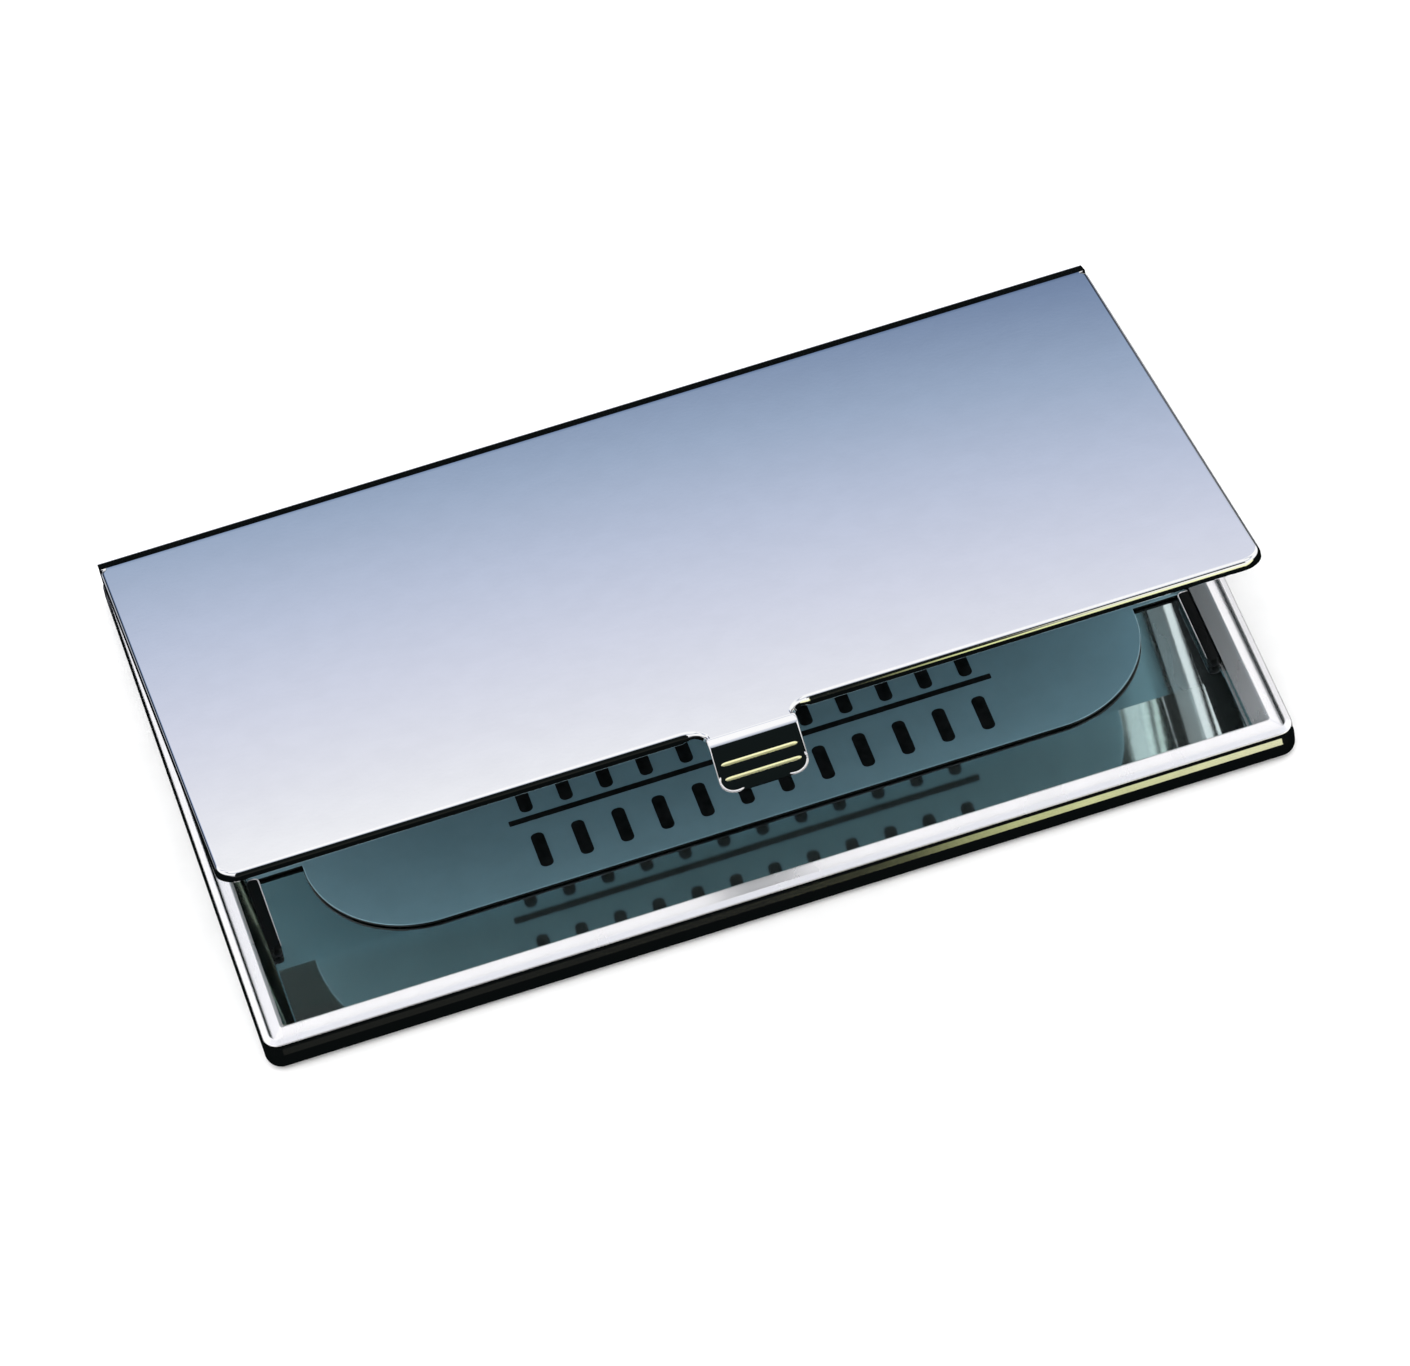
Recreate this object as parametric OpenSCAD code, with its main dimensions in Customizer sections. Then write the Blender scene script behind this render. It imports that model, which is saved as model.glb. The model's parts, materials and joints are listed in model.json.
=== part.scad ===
// Polished metal business card case: a shallow double-walled tray, a sprung
// plate under the cards, and a flat lid on a full-width rolled hinge.
// X runs along the hinge, +Y points to the hinge, +Z is up. The origin is the
// middle of the footprint, on the underside. The lid is drawn part open.

/* [Case] */
// Width of the case along the hinge
case_w = 94; // [90:0.5:110]
// Depth of the tray from its front wall to the back of the hinge
case_d = 60; // [58:0.5:70]
// Height of the tray rim above the table
rim_h = 3.6; // [3.4:0.1:5]
// Outside corner radius of the tray, seen from above
corner_r = 1.5; // [1:0.1:3]
// Radius of the rolled lower edge of the tray
edge_r = 1; // [0.5:0.1:1.2]
// Thickness of the tray side walls, which are hemmed at the rim
wall_t = 0.75; // [0.6:0.05:1]
// Thickness of the tray floor
floor_t = 0.45; // [0.3:0.05:0.5]

/* [Liner] */
// Gap between the tray wall and the liner flange
gap = 0.15; // [0.1:0.05:0.3]
// Width of the bright flange of the liner
flange_w = 1.1; // [0.8:0.1:1.5]
// Sheet thickness of the liner and of the inner lid plate
liner_t = 0.3; // [0.25:0.05:0.35]
// Width of the slope at the top of the inner side walls
side_slope_w = 1.3; // [0.5:0.1:1.4]
// Height of the slope at the top of the inner side walls
side_slope_h = 1.1; // [0.5:0.1:1.2]
// Height of the flat bed of the liner above the table
bed_z = 1.2; // [1:0.05:1.3]
// Length of the slope that runs down from the bed to the front of the liner
slope_len = 8; // [4:0.5:8]

/* [Card plate] */
// Height of the underside of the card plate above the table
plate_z = 1.35; // [1.35:0.05:1.5]
// Thickness of the card plate
plate_t = 0.3; // [0.2:0.05:0.35]
// Width of the tongue of the card plate
tongue_w = 77; // [60:1:80]
// Radius of the two front corners of the tongue
tongue_r = 10; // [5:0.5:12]
// Front edge of the tongue, behind the front of the tray
tongue_setback = 9.8; // [9:0.1:14]
// Front edge of the two wings, behind the front of the tray
wing_setback = 20.4; // [20:0.1:24]
// Clear width between the two card rails, for a standard card
card_w = 85.2; // [84:0.1:86]
// Height of the card rails above the table
rail_top = 2.2; // [1.8:0.1:2.4]
// Length of the card rails
rail_len = 8.6; // [6:0.1:8.6]

/* [Hinge] */
// Outside radius of the roll along the back edge of the lid
knuckle_r = 1.1; // [1.05:0.05:1.2]
// Outside radius of the two fixed knuckles, which run inside the roll
core_r = 0.58; // [0.54:0.02:0.6]
// Radius of the hinge pin
pin_r = 0.3; // [0.25:0.01:0.32]
// Radial running clearance of the pin in the knuckles
pin_fit = 0.03; // [0.02:0.01:0.06]
// Height of the hinge axis above the table
axis_z = 3.75; // [3.6:0.05:4]
// Angle at which the lid stands open
lid_open = 17; // [0:1:120]

/* [Lid] */
// Sheet thickness of the lid
lid_t = 0.45; // [0.35:0.05:0.5]
// Depth of the turned-down lip round the lid
lip_h = 1; // [0.9:0.05:1.25]
// Radius of the two front corners of the lid
lid_corner_r = 2; // [1:0.1:3]
// Front edge of the closed lid, behind the front of the tray
lid_setback = 1.9; // [1.6:0.1:3]
// Width of the thumb tab
tab_w = 8; // [6:0.5:12]
// Distance from the front of the tray to the bend of the thumb tab
tab_reach = 0.65; // [0.6:0.05:1]
// Height of the turned-down end of the thumb tab
tab_h = 4.5; // [3.5:0.1:4.6]
// Angle by which the thumb tab leans outwards
tab_flare = 25; // [0:1:30]
// Radius of the fillets where the tab leaves the lid
tab_fillet = 1.8; // [1:0.1:3]

/* [Hidden] */
$fn = 64;
eps = 0.01;
sharp_r = 0.01;

// Tray and liner
half_w = case_w / 2;
half_d = case_d / 2;
liner_half_w = half_w - wall_t - gap;
inner_half_w = liner_half_w - flange_w;
foot_half_w = inner_half_w - side_slope_w;
inner_front = -half_d + wall_t + gap + flange_w;
flange_z = rim_h - 0.05 - liner_t;
floor_z = floor_t + liner_t;
liner_back = half_d - 2.5;
back_wall_h = axis_z - knuckle_r - 0.2;

// Card plate, its clamp and its rails
tongue_front = -half_d + tongue_setback;
wing_front = -half_d + wing_setback;
plate_half_w = foot_half_w - 0.3;
clamp_front = half_d - 8;
clamp_back = half_d - 3.5;
clamp_t = 0.35;
clamp_fit = 0.1;
clamp_half_w = 36;
plate_back = clamp_back - 1;
clamp_rivet_x = [-30, -10, 10, 30];
rivet_r = 0.7;
rail_back = wing_front - 0.3;
rail_front = rail_back - rail_len;

// Hinge: five knuckles, of which the lid carries the first, third and last. Over the two
// fixed ones the roll of the lid is open below, from the horizontal up to roll_open degrees.
axis_y = half_d - knuckle_r;
hinge_half_w = half_w - 0.5;
knuckle_gap = 0.1;
lid_knuckles = [[-hinge_half_w, -28], [-9.5, 9.5], [28, hinge_half_w]];
base_knuckles = [[-28, -9.5], [9.5, 28]];
roll_open = 30;
leaf_front = axis_y - core_r;
leaf_t = 0.33;
leaf_half_w = half_w - 3;
foot_front = liner_back + 0.1;
foot_back = half_d - wall_t - 0.05;
foot_t = 0.35;
leaf_rivet_x = [-38, -19, 0, 19, 38];
cap_t = 0.4;
cap_r = 0.58;

// Lid, in its closed position
lid_top = axis_z + knuckle_r;
lid_under = lid_top - lid_t;
lip_bottom = lid_top - lip_h;
lid_front = -half_d + lid_setback;
lip_back = half_d - 2.6;
liner_half = 44.5;
lid_liner_front = lid_front + 1.2;
lid_liner_back = axis_y - 1.95;
tab_bend = -half_d - tab_reach;
tab_front = tab_bend - tab_h * tan(tab_flare);
tab_bottom = lid_top - tab_h;
tab_corner_r = 1.4;
grip_r = 0.2;
grip_inset = 0.6;
grip_at = [2.15, 3.45];

// Rectangle given by its left, front, right and back edges
module plan(left, front, right, back) {
    translate([left, front]) square([right - left, back - front]);
}

// Rectangle centred on X, from front to back, with its corners rounded
module round_plan(half, front, back, front_r, back_r) {
    difference() {
        plan(-half, front, half, back);
        for (side = [-1, 1]) {
            corner_cut([side * half, front], [-side, 1], front_r);
            corner_cut([side * half, back], [-side, -1], back_r);
        }
    }
}

// What a radius removes from an outside corner whose body lies towards inward
module corner_cut(corner, inward, r) {
    translate(corner) face(inward) difference() {
        translate([-eps, -eps]) square(r + eps);
        translate([r, r]) circle(r);
    }
}

// Mirrors the first quadrant into the one that direction points to
module face(direction) {
    mirror([direction[0] < 0 ? 1 : 0, 0]) mirror([0, direction[1] < 0 ? 1 : 0]) children();
}

// Solid between two heights
module layer(bottom, top) {
    translate([0, 0, bottom]) linear_extrude(top - bottom) children();
}

// Solid that runs along X, drawn in the Y-Z plane
module along_x(from, to) {
    translate([from, 0, 0]) rotate([90, 0, 90]) linear_extrude(to - from) children();
}

// Solid that runs along Y, drawn in the X-Z plane
module along_y(from, to) {
    translate([0, to, 0]) rotate([90, 0, 0]) linear_extrude(to - from) children();
}

// Section with both lower corners rounded
module dish_section(left, right, height, r) {
    difference() {
        plan(left, 0, right, height);
        corner_cut([left, 0], [1, 1], r);
        corner_cut([right, 0], [-1, 1], r);
    }
}

// Puts the lid parts at the angle where the lid stands
module opened() {
    translate([0, axis_y, axis_z]) rotate([-lid_open, 0, 0]) translate([0, -axis_y, -axis_z]) children();
}

module axis_rod(from, to, r) {
    translate([from, axis_y, axis_z]) rotate([0, 90, 0]) cylinder(h = to - from, r = r);
}

// Outer tray: floor, four walls and a rolled lower edge, cut down at the back for the hinge
module base_shell() {
    color("silver") difference() {
        intersection() {
            layer(0, rim_h) round_plan(half_w, -half_d, half_d, corner_r, corner_r);
            along_x(-half_w, half_w) dish_section(-half_d, half_d, rim_h, edge_r);
            along_y(-half_d, half_d) dish_section(-half_w, half_w, rim_h, edge_r);
        }
        layer(floor_t, rim_h + eps)
            round_plan(half_w - wall_t, -half_d + wall_t, half_d - wall_t, corner_r / 2, corner_r / 2);
        layer(back_wall_h, rim_h + eps) plan(-half_w - eps, liner_back, half_w + eps, half_d + eps);
    }
}

// Section between the side walls of the liner with their slopes, up to a height over the
// flange, and grown sideways by extra
module side_section(over, extra) {
    top = flange_z + liner_t;
    top_half_w = inner_half_w + over * side_slope_w / side_slope_h;
    polygon([
        [-foot_half_w - extra, floor_t], [foot_half_w + extra, floor_t],
        [foot_half_w + extra, top - side_slope_h], [top_half_w + extra, top + over],
        [-top_half_w - extra, top + over], [-foot_half_w - extra, top - side_slope_h]]);
}

// Liner: polished bed that slopes down at the front, inner walls and a bright flange
module base_liner() {
    color("gainsboro") difference() {
        union() {
            layer(flange_z, flange_z + liner_t)
                plan(-liner_half_w, -half_d + wall_t + gap, liner_half_w, liner_back);
            along_y(inner_front - liner_t, liner_back) side_section(0, liner_t);
        }
        intersection() {
            along_x(-half_w, half_w) polygon([
                [inner_front, floor_z], [inner_front + slope_len, bed_z], [liner_back - liner_t, bed_z],
                [liner_back - liner_t, rim_h], [inner_front, rim_h]]);
            along_y(-half_d, half_d) side_section(rim_h - flange_z - liner_t, 0);
        }
        layer(back_wall_h, rim_h) plan(-half_w, liner_back - liner_t - eps, half_w, half_d);
    }
}

// Rail that keeps the end of a card in line
module card_rail(side) {
    color("dimgray") mirror([side < 0 ? 1 : 0, 0, 0])
        layer(bed_z, rail_top) plan(card_w / 2, rail_front, foot_half_w, rail_back);
}

module card_rail_left() { card_rail(-1); }
module card_rail_right() { card_rail(1); }

// Sprung card plate: a tongue with two large corner radii, and a wing on each side
module card_plate() {
    color("lightsteelblue") layer(plate_z, plate_z + plate_t) {
        round_plan(tongue_w / 2, tongue_front, wing_front + eps, tongue_r, sharp_r);
        plan(-plate_half_w, wing_front, plate_half_w, clamp_front - 0.5);
        plan(-clamp_half_w, clamp_front - 0.5, clamp_half_w, plate_back);
    }
}

// Clamp bar that holds the back edge of the card plate down on the bed
module plate_clamp() {
    slot_top = plate_z + plate_t + clamp_fit;
    color("silver") difference() {
        layer(bed_z, slot_top + clamp_t) plan(-clamp_half_w - 1, clamp_front, clamp_half_w + 1, clamp_back);
        layer(bed_z - eps, slot_top)
            plan(-clamp_half_w - 2, clamp_front - eps, clamp_half_w + 2, plate_back + 0.2);
    }
}

// Low rivet heads that fix the clamp bar to the bed, behind the card plate
module clamp_rivets() {
    color("silver") for (x = clamp_rivet_x)
        translate([x, (plate_back + clamp_back) / 2 + 0.1, plate_z + plate_t + clamp_fit + clamp_t])
            cylinder(h = 0.2, r = rivet_r / 2);
}

// Fixed hinge leaf: a foot on the tray floor, an upright, and the two knuckles of the tray
module hinge_leaf() {
    color("silver") difference() {
        union() {
            layer(floor_t, floor_t + foot_t) plan(-leaf_half_w, foot_front, leaf_half_w, foot_back);
            layer(floor_t, back_wall_h - 0.1) plan(-leaf_half_w, leaf_front, leaf_half_w, leaf_front + leaf_t);
            for (k = base_knuckles) {
                axis_rod(k[0] + knuckle_gap / 2, k[1] - knuckle_gap / 2, core_r);
                layer(floor_t, axis_z)
                    plan(k[0] + knuckle_gap / 2, leaf_front, k[1] - knuckle_gap / 2, leaf_front + leaf_t);
            }
        }
        axis_rod(-half_w, half_w, pin_r + pin_fit);
    }
}

// Rivets that fix the foot of the hinge leaf to the tray floor, seen as low heads
module leaf_rivets() {
    color("silver") for (x = leaf_rivet_x)
        translate([x, (foot_front + leaf_front) / 2, floor_t + foot_t]) cylinder(h = 0.2, r = rivet_r / 3);
}

module hinge_pin() {
    color("lightgray") axis_rod(-hinge_half_w, hinge_half_w, pin_r);
}

// Peened cap on the end of the pin
module pin_cap(side) {
    color("lightgray") mirror([side < 0 ? 1 : 0, 0, 0]) axis_rod(hinge_half_w, hinge_half_w + cap_t, cap_r);
}

module pin_cap_left() { pin_cap(-1); }
module pin_cap_right() { pin_cap(1); }

// Plan of the lid sheet with its thumb tab, seen from above
module lid_plan() {
    round_plan(half_w, lid_front, axis_y, lid_corner_r, sharp_r);
    plan(-tab_w / 2, tab_bend, tab_w / 2, lid_front + 1);
    for (side = [-1, 1]) corner_cut([side * tab_w / 2, lid_front], [side, -1], tab_fillet);
}

// Quarter of the roll that covers a fixed knuckle
module roll_cover(from, to) {
    translate([0, axis_y, axis_z]) along_x(from, to) intersection() {
        difference() {
            circle(knuckle_r);
            circle(knuckle_r - lid_t);
        }
        polygon([[0, 0], 2 * [cos(roll_open), sin(roll_open)], [2, 2], [0, 2]]);
    }
}

// Lid: flat sheet with turned-down lips, a rolled back edge and the thumb tab
module lid_shell() {
    color("lavender") opened() difference() {
        union() {
            layer(lid_under, lid_top) lid_plan();
            difference() {
                layer(lip_bottom, lid_top) round_plan(half_w, lid_front, lip_back, lid_corner_r, sharp_r);
                layer(lip_bottom - eps, lid_under)
                    round_plan(half_w - lid_t, lid_front + lid_t, lip_back + eps, lid_corner_r - lid_t, sharp_r);
            }
            along_x(-tab_w / 2, tab_w / 2) tab_section();
            for (k = lid_knuckles) axis_rod(k[0] + knuckle_gap / 2, k[1] - knuckle_gap / 2, knuckle_r);
            for (k = base_knuckles) roll_cover(k[0] - knuckle_gap / 2, k[1] + knuckle_gap / 2);
        }
        axis_rod(-half_w, half_w, pin_r + pin_fit);
        lower_tab_corners();
    }
}

// Section of the thumb tab below its bend
module tab_section() {
    sheet = lid_t / cos(tab_flare);
    polygon([[tab_bend, lid_top], [tab_front, tab_bottom], [tab_front + sheet, tab_bottom],
        [tab_bend + sheet, lid_top]]);
}

// Rounds the two lower corners of the thumb tab
module lower_tab_corners() {
    along_y(tab_front - eps, tab_bend) for (side = [-1, 1])
        corner_cut([side * tab_w / 2, tab_bottom], [-side, 1], tab_corner_r);
}

// Inner lid plate, bonded under the lid sheet
module lid_liner() {
    color("lightsteelblue") opened() layer(lid_under - liner_t, lid_under)
        round_plan(liner_half, lid_liner_front, lid_liner_back, 1, 1);
}

// Two beads across the outside of the thumb tab, for grip
module tab_grip() {
    color("gainsboro") opened() translate([-tab_w / 2 + grip_inset, tab_bend, lid_top])
        rotate([-tab_flare, 0, 0]) for (drop = grip_at) translate([0, 0, -drop]) intersection() {
            rotate([0, 90, 0]) cylinder(h = tab_w - 2 * grip_inset, r = grip_r);
            translate([0, -grip_r - eps, -grip_r]) cube([tab_w, grip_r + eps, 2 * grip_r]);
        }
}

base_shell();
base_liner();
card_rail_left();
card_rail_right();
card_plate();
plate_clamp();
clamp_rivets();
hinge_leaf();
leaf_rivets();
hinge_pin();
pin_cap_left();
pin_cap_right();
lid_shell();
lid_liner();
tab_grip();
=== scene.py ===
"""Looks of a polished metal business card case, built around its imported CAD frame."""
import json
import math

import bmesh
import bpy
from mathutils import Matrix, Vector


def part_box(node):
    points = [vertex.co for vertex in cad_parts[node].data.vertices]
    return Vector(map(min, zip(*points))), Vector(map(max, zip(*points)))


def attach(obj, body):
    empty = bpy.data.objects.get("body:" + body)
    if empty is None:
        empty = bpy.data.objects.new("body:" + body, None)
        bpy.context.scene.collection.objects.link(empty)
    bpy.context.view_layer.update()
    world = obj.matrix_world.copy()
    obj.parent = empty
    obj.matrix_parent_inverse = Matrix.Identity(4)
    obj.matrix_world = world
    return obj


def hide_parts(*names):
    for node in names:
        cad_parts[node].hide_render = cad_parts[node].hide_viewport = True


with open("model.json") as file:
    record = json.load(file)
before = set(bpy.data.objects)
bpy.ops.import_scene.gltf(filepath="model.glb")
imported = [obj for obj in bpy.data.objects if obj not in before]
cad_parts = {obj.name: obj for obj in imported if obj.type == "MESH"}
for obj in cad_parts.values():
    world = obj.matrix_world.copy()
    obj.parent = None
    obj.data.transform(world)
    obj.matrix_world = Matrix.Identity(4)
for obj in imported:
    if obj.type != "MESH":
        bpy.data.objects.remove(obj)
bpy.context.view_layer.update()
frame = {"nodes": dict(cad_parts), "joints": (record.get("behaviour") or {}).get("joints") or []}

MM = 0.001
ARC_STEPS = 10
SHARP_ANGLE = math.radians(40)
WELD_GAP = 0.0005
SLIVER = 0.0002

# ---------------------------------------------------------------- sizes read from the frame, in mm


def box_mm(node):
    """Lowest and highest corner of a CAD node at rest, in millimetres."""
    low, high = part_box(node)
    return [v / MM for v in low], [v / MM for v in high]


BASE_LOW, BASE_HIGH = box_mm("base_shell")
LINER_LOW, LINER_HIGH = box_mm("base_liner")
RAIL_LOW, RAIL_HIGH = box_mm("card_rail_right")
PLATE_LOW, PLATE_HIGH = box_mm("card_plate")
CLAMP_LOW, CLAMP_HIGH = box_mm("plate_clamp")
RIVET_LOW, RIVET_HIGH = box_mm("clamp_rivets")
PIN_LOW, PIN_HIGH = box_mm("hinge_pin")
CAP_LOW, CAP_HIGH = box_mm("pin_cap_right")
JOINTS = {joint["name"]: joint for joint in frame["joints"]}

# Tray and liner
HALF_W = BASE_HIGH[0]
HALF_D = BASE_HIGH[1]
RIM = BASE_HIGH[2]
WALL_T = 0.75
TRAY_CORNER_R = 1.5
TRAY_EDGE_R = 1.0
LINER_HALF_W = LINER_HIGH[0]
LINER_FRONT = LINER_LOW[1]
LINER_BACK = LINER_HIGH[1]
LINER_T = 0.3
FLOOR_T = LINER_LOW[2]
FLOOR_Z = FLOOR_T + LINER_T
BED_Z = RAIL_LOW[2]
FLANGE_W = 1.1
FLANGE_FALL = 0.34
FLANGE_ROLL_R = 0.14
INNER_HALF_W = LINER_HALF_W - FLANGE_W
SIDE_RUN = INNER_HALF_W - RAIL_HIGH[0]
SIDE_DROP = 1.1
FLANGE_TOP = LINER_HIGH[2]
INNER_FRONT = LINER_FRONT + FLANGE_W
BED_SLOPE_LEN = 8.0
BED_FRONT = INNER_FRONT + BED_SLOPE_LEN

# Hinge
AXIS_Y = JOINTS["lid_hinge"]["pos_m"][1] / MM
AXIS_Z = JOINTS["lid_hinge"]["pos_m"][2] / MM
LID_ANGLE = math.radians(-JOINTS["lid_hinge"]["range_deg"][0])
ROLL_R = HALF_D - AXIS_Y
PIN_R = (PIN_HIGH[2] - PIN_LOW[2]) / 2
CAP_R = (CAP_HIGH[2] - CAP_LOW[2]) / 2
HINGE_HALF_W = PIN_HIGH[0]
BACK_WALL = AXIS_Z - ROLL_R - 0.2

# Lid, in its closed position
LID_TOP = AXIS_Z + ROLL_R
LID_T = 0.45
LID_UNDER = LID_TOP - LID_T
LIP_BOTTOM = LID_TOP - 1.0
LID_FRONT = -HALF_D + 1.9
LIP_BACK = AXIS_Y - 2.05
LID_CORNER_R = 2.0
LID_EDGE_R = 0.36
LIP_DRAFT = 0.05
LIP_BEND = LID_TOP - 0.55
TAB_HALF_W = 4.0
TAB_BOTTOM = LID_TOP - 4.5
TAB_FLARE = math.radians(25)
TAB_CORNER_R = 1.4
TAB_FILLET = 1.8
TAB_BEND_R = 1.0
TAB_BEND_Y = -HALF_D - 0.65
BEND_START = TAB_BEND_Y + TAB_BEND_R * math.tan((math.pi / 2 - TAB_FLARE) / 2)
SLOPE_DEG = 10.0
SLOPE_START = AXIS_Y - 1.3
SLOPE_DROP = 0.24
LID_KNUCKLES = [(-HINGE_HALF_W, -28.0), (-9.5, 9.5), (28.0, HINGE_HALF_W)]
KNUCKLE_GAP = 0.05

# ---------------------------------------------------------------- mesh helpers


def arc(centre, r, start, end, steps=ARC_STEPS):
    """Points on an arc, angles in degrees."""
    turns = [math.radians(start + (end - start) * i / steps) for i in range(steps + 1)]
    return [(centre[0] + r * math.cos(a), centre[1] + r * math.sin(a)) for a in turns]


def round_rect(half_w, front, back, r_front, r_back, cuts=()):
    """Rounded rectangle, anticlockwise from its front left corner, with extra side points at cuts."""
    right = [(half_w, y) for y in cuts]
    left = [(-half_w, y) for y in reversed(cuts)]
    return (
        arc((-half_w + r_front, front + r_front), r_front, 180, 270)
        + arc((half_w - r_front, front + r_front), r_front, 270, 360)
        + right
        + arc((half_w - r_back, back - r_back), r_back, 0, 90)
        + arc((-half_w + r_back, back - r_back), r_back, 90, 180)
        + left
    )


def inset(outline, distance):
    """The outline moved inwards. distance is one number, or one for each point.

    The corner of a sharp turn moves at most 1 / 0.3 of its distance.
    """
    count = len(outline)
    distances = distance if isinstance(distance, (list, tuple)) else [distance] * count
    moved = []
    for i, point in enumerate(outline):
        here = Vector(point)
        before = (here - Vector(outline[i - 1])).normalized()
        after = (Vector(outline[(i + 1) % count]) - here).normalized()
        side_a = Vector((-before.y, before.x))
        side_b = Vector((-after.y, after.x))
        middle = (side_a + side_b).normalized()
        moved.append(tuple(here + middle * distances[i] / max(middle.dot(side_a), 0.3)))
    return moved


def lift(outline, z):
    """A flat outline as 3D points. z is one height, or one for each point."""
    heights = z if isinstance(z, (list, tuple)) else [z] * len(outline)
    return [(x, y, h) for (x, y), h in zip(outline, heights)]


def add_loft(bm, rings, cap_start=True, cap_end=True):
    """Adds quads between rings of equal length, with flat caps. Returns the rows of vertices."""
    rows = [[bm.verts.new(Vector(p) * MM) for p in ring] for ring in rings]
    count = len(rings[0])
    for low, high in zip(rows, rows[1:]):
        for i in range(count):
            j = (i + 1) % count
            bm.faces.new((low[i], low[j], high[j], high[i]))
    if cap_start:
        bm.faces.new(list(reversed(rows[0])))
    if cap_end:
        bm.faces.new(rows[-1])
    return rows


def loft(rings):
    bm = bmesh.new()
    add_loft(bm, rings)
    return bm


def add_run(bm, profile, x_from, x_to):
    """Adds a closed Y-Z profile, run along X, with both ends capped."""
    add_loft(bm, [[(x, y, z) for y, z in profile] for x in (x_from, x_to)])


# A direction that none of the wires runs along
WIRE_UP = Vector((0, 0.42, 0.91))


def add_tube(bm, path, r, steps=10):
    """Adds a round wire along a path of 3D points, thinner at both of its ends."""
    rings = []
    last = len(path) - 1
    for i, point in enumerate(path):
        along = (Vector(path[min(i + 1, last)]) - Vector(path[max(i - 1, 0)])).normalized()
        side = along.cross(WIRE_UP).normalized()
        up = side.cross(along)
        size = r
        if i in (0, last):
            size = 0.3 * r
        elif i in (1, last - 1):
            size = 0.8 * r
        turns = [2 * math.pi * k / steps for k in range(steps)]
        rings.append([Vector(point) + side * size * math.cos(a) + up * size * math.sin(a) for a in turns])
    add_loft(bm, rings)


def face_outwards(bm):
    """Makes each closed piece of the mesh face outwards, judged by its signed volume."""
    bmesh.ops.recalc_face_normals(bm, faces=bm.faces)
    left = set(bm.faces)
    while left:
        stack = [left.pop()]
        piece = []
        while stack:
            face = stack.pop()
            piece.append(face)
            near = {other for edge in face.edges for other in edge.link_faces} & left
            left -= near
            stack.extend(near)
        volume = sum(face.normal.dot(face.calc_center_median()) * face.calc_area() for face in piece)
        if volume < 0:
            bmesh.ops.reverse_faces(bm, faces=piece)


def finish_mesh(bm, name, transform=None):
    """Turns a bmesh into a smooth-shaded object whose flat faces stay flat."""
    bmesh.ops.remove_doubles(bm, verts=bm.verts, dist=WELD_GAP * MM)
    bmesh.ops.dissolve_degenerate(bm, edges=bm.edges, dist=SLIVER * MM)
    face_outwards(bm)
    if transform is not None:
        bm.transform(transform)
    mesh = bpy.data.meshes.new(name)
    bm.to_mesh(mesh)
    bm.free()
    mesh.polygons.foreach_set("use_smooth", [True] * len(mesh.polygons))
    mesh.set_sharp_from_angle(angle=SHARP_ANGLE)
    obj = bpy.data.objects.new(name, mesh)
    bpy.context.scene.collection.objects.link(obj)
    weighted = obj.modifiers.new("weighted", "WEIGHTED_NORMAL")
    weighted.keep_sharp = True
    weighted.weight = 100
    return obj


def opened():
    """Turns closed lid geometry to the angle at which it stands at rest."""
    pivot = Vector((0, AXIS_Y, AXIS_Z)) * MM
    return Matrix.Translation(pivot) @ Matrix.Rotation(-LID_ANGLE, 4, "X") @ Matrix.Translation(-pivot)


def bevelled_rings(outline, bottom, top, r_bottom, r_top, steps=4):
    """Rings of a plate with both its edges rounded, from its underside to its top."""
    turns = [math.radians(90 * i / steps) for i in range(steps + 1)]
    low = [(r_bottom * (1 - math.sin(a)), bottom + r_bottom * (1 - math.cos(a))) for a in turns]
    high = [(r_top * (1 - math.cos(a)), top - r_top * (1 - math.sin(a))) for a in turns]
    return [lift(inset(outline, o), z) for o, z in low + high]


# ---------------------------------------------------------------- materials


class Nodes:
    """Short spelling for building one node material."""

    def __init__(self, name):
        self.material = bpy.data.materials.new(name)
        self.material.use_nodes = True
        self.tree = self.material.node_tree
        self.tree.nodes.clear()
        self.out = self.tree.nodes.new("ShaderNodeOutputMaterial")
        self.bsdf = self.tree.nodes.new("ShaderNodeBsdfPrincipled")
        self.link(self.bsdf, "BSDF", self.out, "Surface")
        self.coords = self.tree.nodes.new("ShaderNodeTexCoord")

    def link(self, a, out, b, into):
        self.tree.links.new(a.outputs[out], b.inputs[into])

    def noise(self, scale, detail=3.0, stretch=(1, 1, 1), rough=0.5):
        mapping = self.tree.nodes.new("ShaderNodeMapping")
        mapping.inputs["Scale"].default_value = stretch
        self.link(self.coords, "Object", mapping, "Vector")
        node = self.tree.nodes.new("ShaderNodeTexNoise")
        node.inputs["Scale"].default_value = scale
        node.inputs["Detail"].default_value = detail
        node.inputs["Roughness"].default_value = rough
        self.link(mapping, "Vector", node, "Vector")
        return node

    def ramp(self, source, stops):
        node = self.tree.nodes.new("ShaderNodeValToRGB")
        set_stops(node.color_ramp, stops)
        self.link(source, "Fac", node, "Fac")
        return node

    def spread(self, source, low, high):
        node = self.tree.nodes.new("ShaderNodeMapRange")
        node.inputs["From Min"].default_value = 0.3
        node.inputs["From Max"].default_value = 0.7
        node.inputs["To Min"].default_value = low
        node.inputs["To Max"].default_value = high
        self.link(source, "Fac", node, "Value")
        return node

    def bump(self, source, strength, distance, before=None):
        node = self.tree.nodes.new("ShaderNodeBump")
        node.inputs["Strength"].default_value = strength
        node.inputs["Distance"].default_value = distance
        self.link(source, "Fac", node, "Height")
        if before is not None:
            self.link(before, "Normal", node, "Normal")
        return node


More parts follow.
